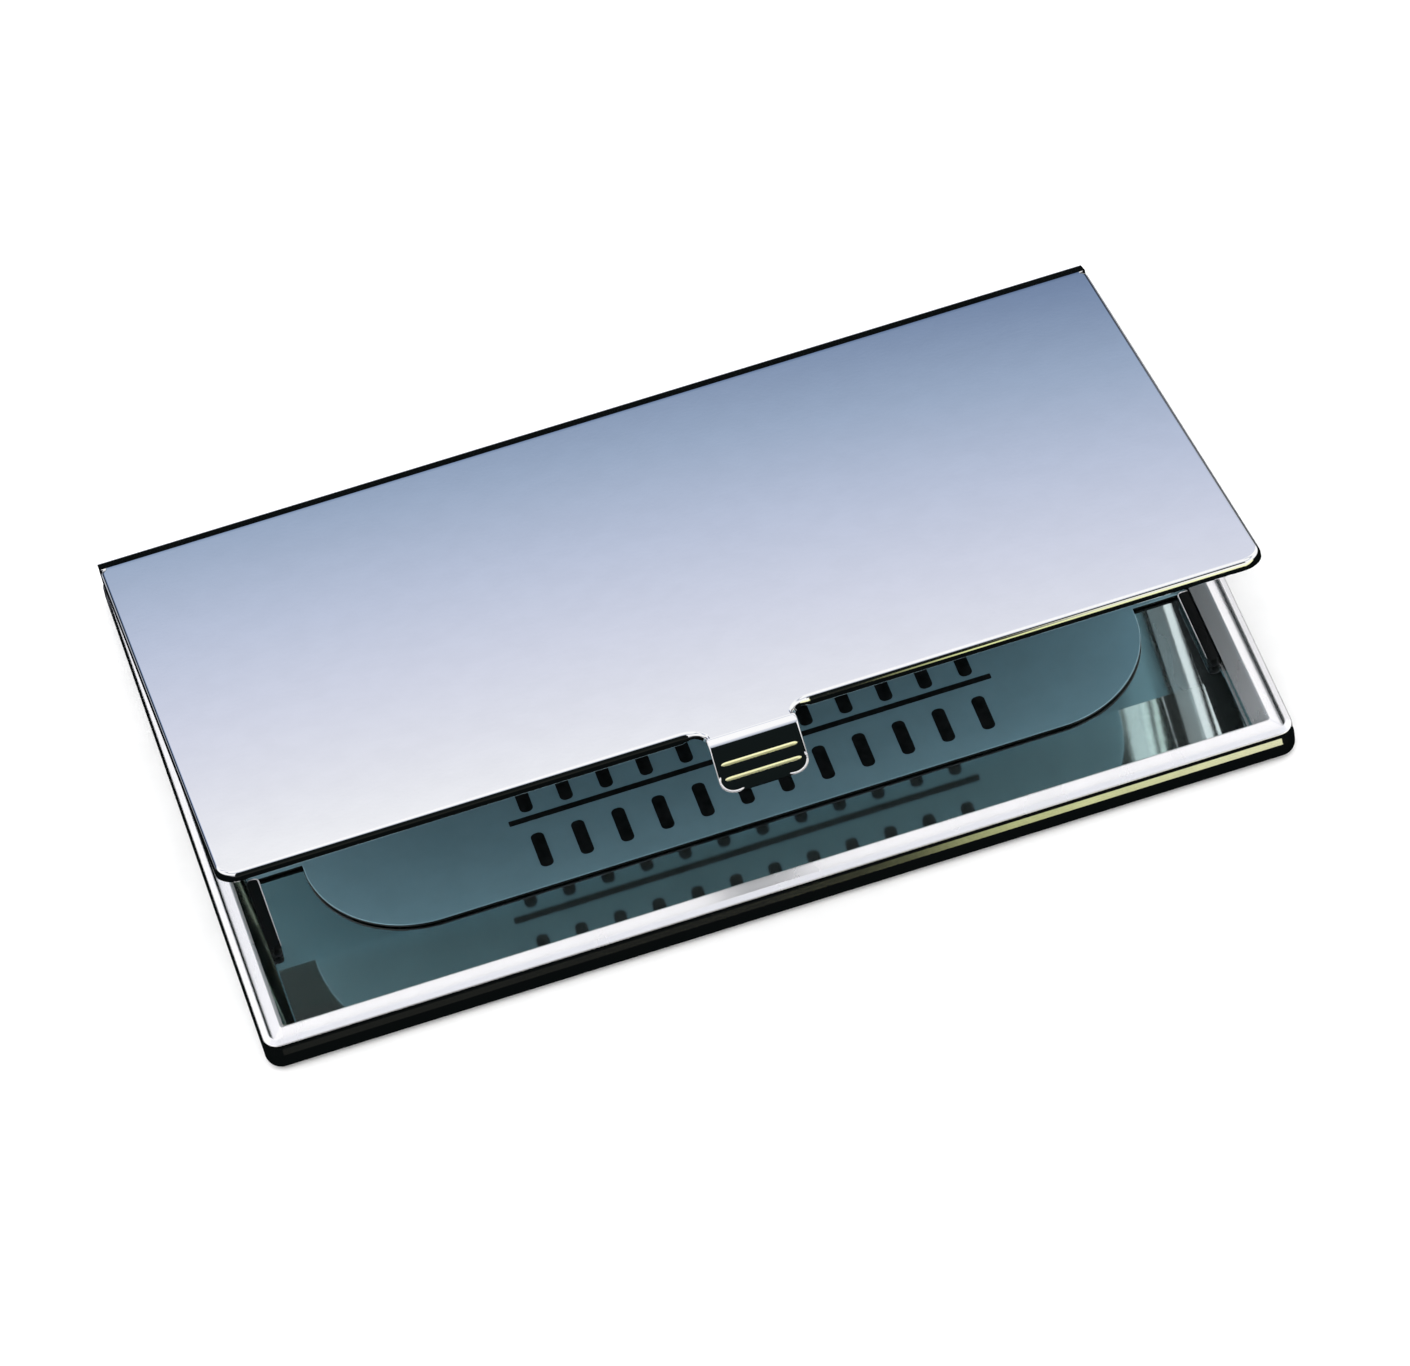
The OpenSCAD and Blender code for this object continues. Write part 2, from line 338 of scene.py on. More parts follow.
def set_stops(ramp, stops):
    ramp.elements[0].position, ramp.elements[0].color = stops[0]
    ramp.elements[1].position, ramp.elements[1].color = stops[-1]
    for position, colour in stops[1:-1]:
        ramp.elements.new(position).color = colour


def polished_metal(name, colour, rough, metallic=1.0, tint_shift=0.012, grain=0.06, lines=0.0):
    """Plated and polished sheet: fine grain, faint polishing lines and patches of slight haze."""
    n = Nodes(name)
    cloud = n.noise(350, 4)
    low = tuple(c * (1 - tint_shift) for c in colour) + (1,)
    high = tuple(min(1, c * (1 + tint_shift)) for c in colour) + (1,)
    tint = n.ramp(cloud, [(0.35, low), (0.65, high)])
    n.link(tint, "Color", n.bsdf, "Base Color")
    haze = n.noise(260, 4, (1, 0.3, 1))
    spread = n.spread(haze, rough * 0.85, rough * 1.15)
    n.link(spread, "Result", n.bsdf, "Roughness")
    fine = n.noise(2600, 3)
    surface = n.bump(fine, grain, 0.00001)
    if lines > 0:
        streaks = n.noise(700, 2, (1, 16, 16))
        surface = n.bump(streaks, lines, 0.00001, before=surface)
    n.link(surface, "Normal", n.bsdf, "Normal")
    n.bsdf.inputs["Metallic"].default_value = metallic
    return n.material


def black_enamel(name):
    """Black filling of the marks on the card plate."""
    n = Nodes(name)
    grain = n.noise(1500, 4)
    tint = n.ramp(grain, [(0.3, (0.002, 0.003, 0.003, 1)), (0.7, (0.008, 0.009, 0.010, 1))])
    n.link(tint, "Color", n.bsdf, "Base Color")
    spread = n.spread(grain, 0.35, 0.6)
    n.link(spread, "Result", n.bsdf, "Roughness")
    pits = n.bump(grain, 0.2, 0.00001)
    n.link(pits, "Normal", n.bsdf, "Normal")
    n.bsdf.inputs["Specular IOR Level"].default_value = 0.1
    return n.material


def put_material(obj, *materials):
    obj.data.materials.clear()
    for material in materials:
        obj.data.materials.append(material)
    for polygon in obj.data.polygons:
        polygon.material_index = 0


CHROME = polished_metal("case_chrome", (0.93, 0.93, 0.95), 0.10)
RIM_SATIN = polished_metal("rim_satin", (0.96, 0.95, 0.97), 0.26, metallic=0.75)
LID_CHROME = polished_metal("lid_chrome", (0.96, 0.96, 0.97), 0.045, grain=0.05)
# Pale yellow painted reflection: the tab's beads take a warm yellow tint that stands for a reflected
# highlight
TAB_BEAD_YELLOW_REFLECTION = polished_metal("tab_bead_painted_reflection", (0.97, 0.96, 0.55), 0.30, metallic=0.8)
LINER_CHROME = polished_metal("liner_chrome", (0.82, 0.90, 0.88), 0.03, grain=0.04)
PLATE_STEEL = polished_metal("plate_steel", (0.27, 0.45, 0.53), 0.14, metallic=0.55, tint_shift=0.03)
UNDER_STEEL = polished_metal("lid_liner_steel", (0.86, 0.92, 0.93), 0.03, metallic=0.965, grain=0.04)
# Near-black painted shade: the undersides and inner faces of the lid and the edges and underside of the
# card plate take it, where shade falls
UNDERSIDE_SHADE_COLOUR = (0.012, 0.016, 0.017)
UNDERSIDE_SHADE = polished_metal("underside_painted_shade", UNDERSIDE_SHADE_COLOUR, 0.22, metallic=0.3, tint_shift=0.15)
CLAMP_STEEL = polished_metal("clamp_steel", (0.62, 0.68, 0.70), 0.20, lines=0.3)
# Near-black painted dark reflection on the card rails
RAIL_PAINTED_DARK = polished_metal("rail_metal", (0.006, 0.007, 0.007), 0.30, metallic=0.6, tint_shift=0.2)
HINGE_METAL = polished_metal("hinge_metal", (0.72, 0.74, 0.77), 0.22, lines=0.4)
ENAMEL = black_enamel("mark_enamel")

# ---------------------------------------------------------------- tray

SIDE_CUTS = (LINER_BACK - 0.02, LINER_BACK + 0.02)


def base_ring(offset, z):
    """Ring of the outer tray, offset inwards, cut down behind the liner for the hinge."""
    r = max(TRAY_CORNER_R - offset, 0.25)
    plan = round_rect(HALF_W - offset, -HALF_D + offset, HALF_D - offset, r, r, SIDE_CUTS)
    heights = [min(z, BACK_WALL) if y > LINER_BACK else z for _, y in plan]
    return lift(plan, heights)


def build_base_shell():
    """Outer tray: rolled lower edge, a bright shoulder below the rim, and a hemmed, crowned rim."""
    profile = arc((TRAY_EDGE_R, TRAY_EDGE_R), TRAY_EDGE_R, 270, 180)
    profile += [(0.0, RIM - 1.58), (0.01, RIM - 1.54), (0.27, RIM - 1.02), (0.28, RIM - 0.98)]
    profile += [(0.28, RIM - 0.86), (0.20, RIM - 0.78), (0.11, RIM - 0.70), (0.10, RIM - 0.64)]
    profile += [(0.10, RIM - 0.44), (0.12, RIM - 0.36), (0.17, RIM - 0.29), (0.20, RIM - 0.27)]
    profile += [(0.56, RIM - 0.06), (0.62, RIM - 0.02), (0.67, RIM), (0.72, RIM - 0.04)]
    profile += [(WALL_T, RIM - 0.12), (WALL_T, FLOOR_T)]
    rings = [base_ring(TRAY_EDGE_R + 0.3, 0.0)]
    rings += [base_ring(offset, z) for offset, z in profile]
    obj = finish_mesh(loft(rings), "tray_shell")
    put_material(obj, CHROME, RIM_SATIN)
    for polygon in obj.data.polygons:
        if polygon.center.z > (RIM - 0.40) * MM and polygon.normal.z > 0.3:
            polygon.material_index = 1
    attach(obj, "tray")
    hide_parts("base_shell")


def bed_height(y):
    """Height of the liner's bed, which slopes down to the front."""
    if y >= BED_FRONT:
        return BED_Z
    return FLOOR_Z + (BED_Z - FLOOR_Z) * max(y - INNER_FRONT, 0.0) / BED_SLOPE_LEN


def liner_ring(offset, z, back, above_bed=None, side=0.0):
    """Ring of the liner. offset counts from the edge of its flange, side only at its two ends."""
    r = 0.3 if offset < FLANGE_W else 0.35
    cuts = (BED_FRONT, HALF_D - 6.0, LINER_BACK - 0.6)
    plan = round_rect(LINER_HALF_W - offset - side, LINER_FRONT + offset, back, r, 0.2, cuts)
    heights = [z if above_bed is None else bed_height(y) + above_bed for _, y in plan]
    heights = [min(h, BACK_WALL) if y > LINER_BACK - 0.55 else h for h, (_, y) in zip(heights, plan)]
    return lift(plan, heights)


def build_liner():
    """Liner: flange that falls outwards, inner walls, and the bed with its slope at the front."""
    outer_wall = FLANGE_W - LINER_T
    outer_top = FLANGE_TOP - FLANGE_FALL
    crown = [(0.0, outer_top - 0.10), (0.03, outer_top - 0.03), (0.08, outer_top)]
    crown += [(FLANGE_W - 0.24, FLANGE_TOP - 0.04), (FLANGE_W - 0.18, FLANGE_TOP - 0.01)]
    roll = arc((FLANGE_W - FLANGE_ROLL_R, FLANGE_TOP - FLANGE_ROLL_R), FLANGE_ROLL_R, 80, 0, 5)
    wall = [(o, z, SIDE_RUN * (FLANGE_TOP - z) / SIDE_DROP) for o, z in roll]
    wall += [(FLANGE_W, FLANGE_TOP - SIDE_DROP + 0.03, SIDE_RUN * (1 - 0.03 / SIDE_DROP))]
    wall += [(FLANGE_W, FLANGE_TOP - SIDE_DROP - 0.02, SIDE_RUN)]
    rings = [liner_ring(outer_wall + 0.3, FLOOR_T, LINER_BACK, side=SIDE_RUN)]
    rings += [liner_ring(outer_wall, FLOOR_T + 0.02, LINER_BACK, side=SIDE_RUN)]
    rings += [liner_ring(outer_wall, FLANGE_TOP - SIDE_DROP, LINER_BACK, side=SIDE_RUN)]
    rings += [liner_ring(outer_wall, outer_top - LINER_T, LINER_BACK, side=0.2)]
    rings += [liner_ring(0.0, outer_top - LINER_T, LINER_BACK)]
    rings += [liner_ring(o, z, LINER_BACK) for o, z in crown]
    rings += [liner_ring(o, z, LINER_BACK - LINER_T, side=side) for o, z, side in wall]
    cove_r = 0.2
    for across, up in arc((0, 0), cove_r, 0, 90, 4):
        offset = FLANGE_W + cove_r - across
        back = LINER_BACK - LINER_T - cove_r + across
        rings.append(liner_ring(offset, 0, back, above_bed=cove_r - up, side=SIDE_RUN))
    bm = bmesh.new()
    rows = add_loft(bm, rings, cap_end=False)
    split = BED_FRONT * MM
    reach = SLIVER * MM
    bm.faces.new([v for v in rows[-1] if v.co.y <= split + reach])
    bm.faces.new([v for v in rows[-1] if v.co.y >= split - reach])
    obj = finish_mesh(bm, "tray_liner")
    put_material(obj, LINER_CHROME, RIM_SATIN)
    for polygon in obj.data.polygons:
        high = polygon.center.z > (outer_top - 0.12) * MM and polygon.normal.z > 0.3
        # Only the right inner slope takes the bright satin, as a painted highlight; the left slope stays
        # polished
        right_slope_painted_highlight = polygon.normal.x < -0.4 and polygon.normal.z > 0.3
        if high or right_slope_painted_highlight:
            polygon.material_index = 1
    for edge in obj.data.edges:
        ends = [obj.data.vertices[i].co for i in edge.vertices]
        if all(abs(v.y - split) < MM / 1000 and v.z < (BED_Z + 0.02) * MM for v in ends):
            edge.use_edge_sharp = True
    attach(obj, "tray")
    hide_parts("base_liner")


RAIL_CORNER_R = 0.4


def build_rail(side, node):
    """Card rail: a short bar with a near-black painted dark reflection, a rounded top edge and a bright
    wire along its inner edge.
    """
    low, high = box_mm(node)
    half = (high[0] - low[0]) / 2
    middle = (high[0] + low[0]) / 2
    r = RAIL_CORNER_R
    plan = [(x + middle, y) for x, y in round_rect(half, low[1], high[1], r, r)]
    bm = loft(bevelled_rings(plan, low[2], high[2], 0.05, 0.18))
    obj = finish_mesh(bm, node + "_bar")
    put_material(obj, RAIL_PAINTED_DARK)
    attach(obj, "tray")
    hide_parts(node)

    corner = arc((r - half, high[1] - r), r, 180, 90, 6)
    edge = [(-half, low[1] + r)] + corner + [(half - 0.1, high[1])]
    bm = bmesh.new()
    add_tube(bm, [(middle + side * x, y, high[2] - 0.09) for x, y in edge], 0.08, 8)
    obj = finish_mesh(bm, node + "_edge")
    put_material(obj, RIM_SATIN)
    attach(obj, "tray")


# ---------------------------------------------------------------- card plate, its marks and its clamp

TONGUE_HALF = 38.5
TONGUE_R = 10.0
TONGUE_FRONT = PLATE_LOW[1]
WING_FRONT = RAIL_HIGH[1] + 0.3
PLATE_TOP = PLATE_HIGH[2]
CLAMP_HALF_W = CLAMP_HIGH[0] - 1.0


def plate_outline():
    """Plan of the card plate: tongue with two large corners, wings, narrower back."""
    steps = 3 * ARC_STEPS
    wing_back = CLAMP_LOW[1] - 0.5
    return (
        arc((-TONGUE_HALF + TONGUE_R, TONGUE_FRONT + TONGUE_R), TONGUE_R, 180, 270, steps)
        + arc((TONGUE_HALF - TONGUE_R, TONGUE_FRONT + TONGUE_R), TONGUE_R, 270, 360, steps)
        + [(TONGUE_HALF, WING_FRONT), (PLATE_HIGH[0], WING_FRONT)]
        + [(PLATE_HIGH[0], wing_back), (CLAMP_HALF_W, wing_back), (CLAMP_HALF_W, PLATE_HIGH[1])]
        + [(-CLAMP_HALF_W, PLATE_HIGH[1]), (-CLAMP_HALF_W, wing_back), (PLATE_LOW[0], wing_back)]
        + [(PLATE_LOW[0], WING_FRONT), (-TONGUE_HALF, WING_FRONT)]
    )


def build_card_plate():
    rings = bevelled_rings(plate_outline(), PLATE_LOW[2], PLATE_TOP, 0.06, 0.09)
    obj = finish_mesh(loft(rings), "card_spring_plate")
    put_material(obj, PLATE_STEEL, UNDERSIDE_SHADE)
    # The plate's edges and underside take the near-black painted shade, which draws a dark line under its
    # edge
    for polygon in obj.data.polygons:
        if polygon.normal.z < 0.2:
            polygon.material_index = 1
    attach(obj, "plate")
    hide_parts("card_plate")


def add_block(bm, x, y, half_x, half_y, r, z, height):
    """Adds one flat block with rounded corners."""
    plan = [(x + px, y + py) for px, py in round_rect(half_x, -half_y, half_y, r, r)]
    add_loft(bm, [lift(plan, z), lift(plan, z + height)])


def build_marks():
    """A thin rule between two rows of plain blocks, in place of any lettering."""
    bm = bmesh.new()
    z = PLATE_TOP - 0.005
    height = 0.02
    centre_x = 2.1
    rule_y = TONGUE_FRONT + 8.0
    rule_half_w = 22.3
    add_block(bm, centre_x, rule_y, rule_half_w, 0.3, 0.1, z, height)
    count = 12
    pitch = 3.7
    block_half_w = 0.6
    block_r = 0.5
    for i in range(count):
        x = centre_x + (i - (count - 1) / 2) * pitch
        add_block(bm, x, rule_y - 3.85, block_half_w, 2.0, block_r, z, height)
        add_block(bm, x, rule_y + 2.5, block_half_w, 1.7, block_r, z, height)
    obj = finish_mesh(bm, "plate_marks")
    put_material(obj, ENAMEL)
    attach(obj, "plate")


def build_clamp():
    """Clamp bar with rounded edges, and its four domed rivets."""
    low, high = CLAMP_LOW, CLAMP_HIGH
    half_d = (high[1] - low[1]) / 2
    middle = (high[1] + low[1]) / 2
    sheet_bottom = PLATE_TOP + 0.1
    plan = [(x, y + middle) for x, y in round_rect(high[0], -half_d, half_d, 0.5, 0.5)]
    bm = loft(bevelled_rings(plan, sheet_bottom, high[2], 0.05, 0.15))
    foot = round_rect(high[0] - 0.02, PLATE_HIGH[1] + 0.2, high[1] - 0.02, 0.3, 0.5)
    add_loft(bm, [lift(foot, low[2]), lift(foot, sheet_bottom + 0.02)])
    obj = finish_mesh(bm, "clamp_bar")
    put_material(obj, CLAMP_STEEL)
    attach(obj, "tray")
    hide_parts("plate_clamp")

    heads = bmesh.new()
    centre_y = (RIVET_LOW[1] + RIVET_HIGH[1]) / 2
    r = (RIVET_HIGH[1] - RIVET_LOW[1]) / 2
    height = RIVET_HIGH[2] - RIVET_LOW[2]
    dome = [(1.0, 0.0), (1.0, 0.25), (0.92, 0.55), (0.75, 0.82), (0.45, 0.96), (0.15, 1.0)]
    for x in (-30, -10, 10, 30):
        rings = []
        for wide, tall in dome:
            rings.append(lift(arc((x, centre_y), r * wide, 0, 345, 23), RIVET_LOW[2] + height * tall))
        add_loft(heads, rings)
    obj = finish_mesh(heads, "clamp_rivet_heads")
    put_material(obj, HINGE_METAL)
    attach(obj, "tray")
    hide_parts("clamp_rivets")


# ---------------------------------------------------------------- lid


def lid_outline():
    """Plan of the lid sheet up to the bend of its tab, anticlockwise from its front left corner."""
    steps = 2 * ARC_STEPS
    f = TAB_FILLET
    neck = [BEND_START + d for d in (0.6, 0.05, 0.0)]
    left_back = arc((-HALF_W + 0.7, SLOPE_START - 0.7), 0.7, 90, 180, 6)
    right_back = arc((HALF_W - 0.7, SLOPE_START - 0.7), 0.7, 0, 90, 6)
    return (
        arc((-HALF_W + LID_CORNER_R, LID_FRONT + LID_CORNER_R), LID_CORNER_R, 180, 270, steps)
        + arc((-TAB_HALF_W - f, LID_FRONT - f), f, 90, 25, 12)
        + [(-TAB_HALF_W, y) for y in neck]
        + [(TAB_HALF_W, y) for y in reversed(neck)]
        + arc((TAB_HALF_W + f, LID_FRONT - f), f, 155, 90, 12)
        + arc((HALF_W - LID_CORNER_R, LID_FRONT + LID_CORNER_R), LID_CORNER_R, 270, 360, steps)
        + [(HALF_W, LIP_BACK - 0.05), (HALF_W, LIP_BACK)]
        + right_back
        + left_back
        + [(-HALF_W, LIP_BACK), (-HALF_W, LIP_BACK - 0.05)]
    )


def is_cut(point):
    """True on the two edges where the lid sheet goes on as its tab and as its roll."""
    _, y = point
    return y > SLOPE_START - 0.02 or y < BEND_START + 0.01


def lip_depth(point):
    """Height of the lower edge of the lip at a point of the lid's outline."""
    x, y = point
    if is_cut(point) or y > LIP_BACK - 0.01:
        return LID_UNDER - 0.01
    fade = 0.0
    if y < LID_FRONT + 0.01:
        fade = min(max((TAB_HALF_W + TAB_FILLET - abs(x)) / (0.8 * TAB_FILLET), 0.0), 1.0)
    return LIP_BOTTOM + fade * (LID_UNDER - 0.01 - LIP_BOTTOM)


def edge_inset(point, amount):
    """How far a ring stands in from the outline. At the two cut edges the sheet is left square."""
    return 0.0 if is_cut(point) else amount


def tab_point(along, outwards=0.0):
    """Y and Z on the flared face of the tab, measured from where its face meets the lid's top."""
    y = TAB_BEND_Y - along * math.sin(TAB_FLARE) - outwards * math.cos(TAB_FLARE)
    z = LID_TOP - along * math.cos(TAB_FLARE) + outwards * math.sin(TAB_FLARE)
    return y, z


TAB_LENGTH = (LID_TOP - TAB_BOTTOM) / math.cos(TAB_FLARE)


def tab_end(x):
    """Length of the tab at a distance x from its middle, where its lower corners are round."""
    overhang = max(abs(x) - (TAB_HALF_W - TAB_CORNER_R), 0.0)
    return TAB_LENGTH - TAB_CORNER_R + math.sqrt(max(TAB_CORNER_R ** 2 - overhang ** 2, 0.0)) - 0.22


def add_tab(bm):
    """Adds the bent strip of the thumb tab, with its lower corners and its sides rounded."""
    sections = []
    half = TAB_HALF_W
    for x, shrink in ((0.0, 0.12), (0.03, 0.05), (0.1, 0.01), (0.25, 0), (0.5, 0), (0.85, 0), (1.4, 0)):
        sections.append((-half + x, shrink))
    sections += [(-x, shrink) for x, shrink in reversed(sections)]
    turn = 180 - math.degrees(TAB_FLARE)
    rings = []
    for x, shrink in sections:
        end = tab_end(x)
        centre = (BEND_START, LID_TOP - TAB_BEND_R)
        profile = arc(centre, TAB_BEND_R, 90, turn, 12)
        profile += [tab_point(end - 0.08), tab_point(end, -0.08)]
        profile += [tab_point(end, 0.08 - LID_T), tab_point(end - 0.08, -LID_T)]
        profile += arc(centre, TAB_BEND_R - LID_T, turn, 90, 8)
        if shrink > 0:
            profile = inset(list(reversed(profile)), -shrink)[::-1]
            profile = [(min(y, BEND_START), z) for y, z in profile]
        rings.append([(x, y, z) for y, z in profile])
    add_loft(bm, rings)


def build_lid():
    """Lid sheet with its lips and thumb tab in one pressing, and the rolled back edge."""
    outline = lid_outline()
    depth = [lip_depth(p) for p in outline]
    nick = 0.08

    def ring(amount, heights):
        return lift(inset(outline, [edge_inset(p, amount) for p in outline]), heights)

    rings = [ring(LID_T, LID_UNDER)]
    rings += [ring(LID_T, [min(z + nick, LID_UNDER) for z in depth])]
    rings += [ring(LID_T - nick, depth)]
    rings += [ring(nick, depth)]
    rings += [ring(0, [min(z + nick, LIP_BEND) for z in depth])]
    rings += [ring(0, [LIP_BEND] * len(outline))]
    for offset, z in arc((LID_EDGE_R + LIP_DRAFT, LID_TOP - LID_EDGE_R), LID_EDGE_R, 168, 90, 8):
        rings.append(ring(offset, [LID_TOP if is_cut(p) else z for p in outline]))
    bm = loft(rings)
    add_tab(bm)

    lean = math.radians(SLOPE_DEG)
    back_r = ROLL_R - SLOPE_DROP
    outer = arc((AXIS_Y, AXIS_Z), back_r, 90 - SLOPE_DEG, 30, 8)
    inner = arc((AXIS_Y, AXIS_Z), CAP_R + 0.05, 30, 90 - SLOPE_DEG, 6)
    slope_top = outer[0][1] + (outer[0][0] - SLOPE_START) * math.tan(lean)
    strip = [(SLOPE_START, LID_UNDER), (SLOPE_START, min(slope_top, LID_TOP))] + outer + inner
    add_run(bm, strip, -HALF_W + 0.08, HALF_W - 0.08)
    curl = arc((AXIS_Y, AXIS_Z), back_r, 30, -205, 26) + arc((AXIS_Y, AXIS_Z), PIN_R + 0.03, -205, 30, 20)
    for start, end in LID_KNUCKLES:
        add_run(bm, curl, max(start + KNUCKLE_GAP, -HINGE_HALF_W), min(end - KNUCKLE_GAP, HINGE_HALF_W))
    obj = finish_mesh(bm, "lid_pressing", opened())
    put_material(obj, LID_CHROME, UNDERSIDE_SHADE)
    down = opened().to_3x3() @ Vector((0, 0, -1))
    inner_half_w = (HALF_W - LID_T + 0.02) * MM
    smallest = 10 * MM * MM
    # Large downward faces and the inner side faces of the lips take the near-black painted shade
    for polygon in obj.data.polygons:
        inside = abs(polygon.center.x) < inner_half_w and polygon.center.y > (LID_FRONT + 1.5) * MM
        underside = polygon.normal.dot(down) > 0.98 and polygon.area > smallest
        if underside or inside and abs(polygon.normal.x) > 0.9:
            polygon.material_index = 1
    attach(obj, "lid")
    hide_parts("lid_shell")


def build_lid_liner():
    """Inner lid plate with rounded edges."""
    half = 44.5
    front = LID_FRONT + 1.2
    back = AXIS_Y - 1.95
    top = LID_UNDER
    bottom = LID_UNDER - LINER_T
    outline = round_rect(half, front, back, 1.0, 1.0)
    profile = [(0.1, top), (0.0, top - 0.08), (0.0, bottom + 0.1), (0.03, bottom + 0.03), (0.1, bottom)]
    rings = [lift(inset(outline, o), z) for o, z in profile]
    obj = finish_mesh(loft(rings), "inner_lid_plate", opened())
    put_material(obj, UNDER_STEEL)
    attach(obj, "lid")
    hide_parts("lid_liner")


def tab_place(x, along, outwards):
    y, z = tab_point(along, outwards)
    return x, y, z


def build_tab_beads():
    """Two thin beads across the outside of the thumb tab, their pale yellow a painted reflection, and a
    bright hem round its lower corners.
    """
    bm = bmesh.new()
    half = TAB_HALF_W - 0.6
    right = [half - 0.4, half - 0.15, half]
    stations = [-x for x in reversed(right)] + right
    for along in (2.15, 3.45):
        add_tube(bm, [tab_place(x, along, 0.0) for x in stations], 0.17)
    obj = finish_mesh(bm, "tab_beads", opened())
    put_material(obj, TAB_BEAD_YELLOW_REFLECTION)
    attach(obj, "lid")
    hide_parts("tab_grip")

    hem = bmesh.new()
    hem_r = 0.12
    for side in (-1, 1):
        path = []
        for degrees in range(-30, 121, 10):
            turn = math.radians(degrees)
            x = TAB_HALF_W - TAB_CORNER_R + (TAB_CORNER_R - hem_r) * math.cos(turn)
            along = TAB_LENGTH - TAB_CORNER_R + (TAB_CORNER_R - 0.34) * math.sin(turn)
            path.append(tab_place(side * x, along, -hem_r / 2))
        add_tube(hem, path, hem_r)
    obj = finish_mesh(hem, "tab_corner_hem", opened())
    put_material(obj, RIM_SATIN)
    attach(obj, "lid")


# ---------------------------------------------------------------- studio


def emission(name, stops, low, high, axis="Z", tilt=0.0):
    """Glowing card whose colour runs along one axis, in metres. tilt leans the bands along X."""
    material = bpy.data.materials.new(name)
    material.use_nodes = True
    tree = material.node_tree
    tree.nodes.clear()
    out = tree.nodes.new("ShaderNodeOutputMaterial")
    glow = tree.nodes.new("ShaderNodeEmission")
    coords = tree.nodes.new("ShaderNodeTexCoord")
    split = tree.nodes.new("ShaderNodeSeparateXYZ")
    lean = tree.nodes.new("ShaderNodeMath")
    lean.operation = "MULTIPLY_ADD"
    lean.inputs[1].default_value = tilt
    spread = tree.nodes.new("ShaderNodeMapRange")
    ramp = tree.nodes.new("ShaderNodeValToRGB")
    spread.inputs["From Min"].default_value = low
    spread.inputs["From Max"].default_value = high
    set_stops(ramp.color_ramp, stops)
    tree.links.new(coords.outputs["Object"], split.inputs[0])
    tree.links.new(split.outputs["X"], lean.inputs[0])
    tree.links.new(split.outputs[axis], lean.inputs[2])
    tree.links.new(lean.outputs[0], spread.inputs["Value"])
    tree.links.new(spread.outputs["Result"], ramp.inputs["Fac"])
    tree.links.new(ramp.outputs["Color"], glow.inputs["Color"])
    tree.links.new(glow.outputs["Emission"], out.inputs["Surface"])
    return material


def glossy_only(obj):
    """Shows a studio card in reflections only."""
    obj.visible_camera = False
    obj.visible_diffuse = False
    obj.visible_shadow = False
    obj.visible_transmission = False
    obj.visible_volume_scatter = False


def add_disc(name, radius, z, material):
    bpy.ops.mesh.primitive_circle_add(vertices=96, radius=radius, fill_type="NGON", location=(0, 0, z))
    disc = bpy.context.object
    disc.name = name
    disc.data.materials.append(material)
    return disc


def curved_card(name, radius, start, end, bottom, top, material):
    """Part of an upright cylinder, angles in degrees, sizes in metres."""
    bm = bmesh.new()
    plan = arc((0, 0), radius, start, end, 48)
    low = [bm.verts.new((x, y, bottom)) for x, y in plan]
    high = [bm.verts.new((x, y, top)) for x, y in plan]
    for i in range(len(plan) - 1):
        bm.faces.new((low[i], low[i + 1], high[i + 1], high[i]))
    mesh = bpy.data.meshes.new(name)
    bm.to_mesh(mesh)
    bm.free()
    mesh.polygons.foreach_set("use_smooth", [True] * len(mesh.polygons))
    obj = bpy.data.objects.new(name, mesh)
    obj.data.materials.append(material)
    bpy.context.scene.collection.objects.link(obj)
    glossy_only(obj)


def flat_card(name, half_w, front, back, z, material):
    """Level rectangle, sizes in metres."""
    corners = [(-half_w, front, z), (half_w, front, z), (half_w, back, z), (-half_w, back, z)]
    mesh = bpy.data.meshes.new(name)
    mesh.from_pydata(corners, [], [(0, 1, 2, 3)])
    obj = bpy.data.objects.new(name, mesh)
    obj.data.materials.append(material)
    bpy.context.scene.collection.objects.link(obj)
    glossy_only(obj)


TENT_R = 0.45
TENT_TOP = 0.6
TENT_BOTTOM = -0.02
# Angles in degrees between which the right, back, left and front of the tent stand
TENT_CORNERS = (-62, 65, 135, 242, 298)
# How much the bands of colour on the back of the tent lean to one side
BACK_TILT = -0.087
# Height on the wall of the tent, in metres, and the colour there, as a polished lid shows it
BACK_STOPS = [
    (0.000, (0.004, 0.005, 0.006)),
    (0.040, (0.010, 0.014, 0.020)),
    (0.070, (0.060, 0.095, 0.180)),
    (0.090, (0.170, 0.240, 0.380)),
    (0.104, (0.330, 0.415, 0.565)),
    (0.117, (0.500, 0.560, 0.710)),
    (0.130, (0.650, 0.680, 0.800)),
    (0.141, (0.760, 0.775, 0.850)),
    (0.150, (0.870, 0.880, 0.910)),
    (0.158, (0.980, 0.980, 0.990)),
    (0.240, (1.000, 1.000, 1.000)),
    (0.280, (0.760, 0.790, 0.860)),
    (0.335, (0.600, 0.640, 0.740)),
    (0.385, (0.900, 0.910, 0.950)),
    (0.410, (1.000, 1.000, 1.000)),
]
# The same for the front of the tent, which the front walls and the tab show
FRONT_STOPS = [
    (0.000, (0.003, 0.004, 0.004)),
    (0.264, (0.006, 0.009, 0.009)),
    (0.540, (0.006, 0.009, 0.009)),
    (0.600, (0.060, 0.070, 0.075)),
]
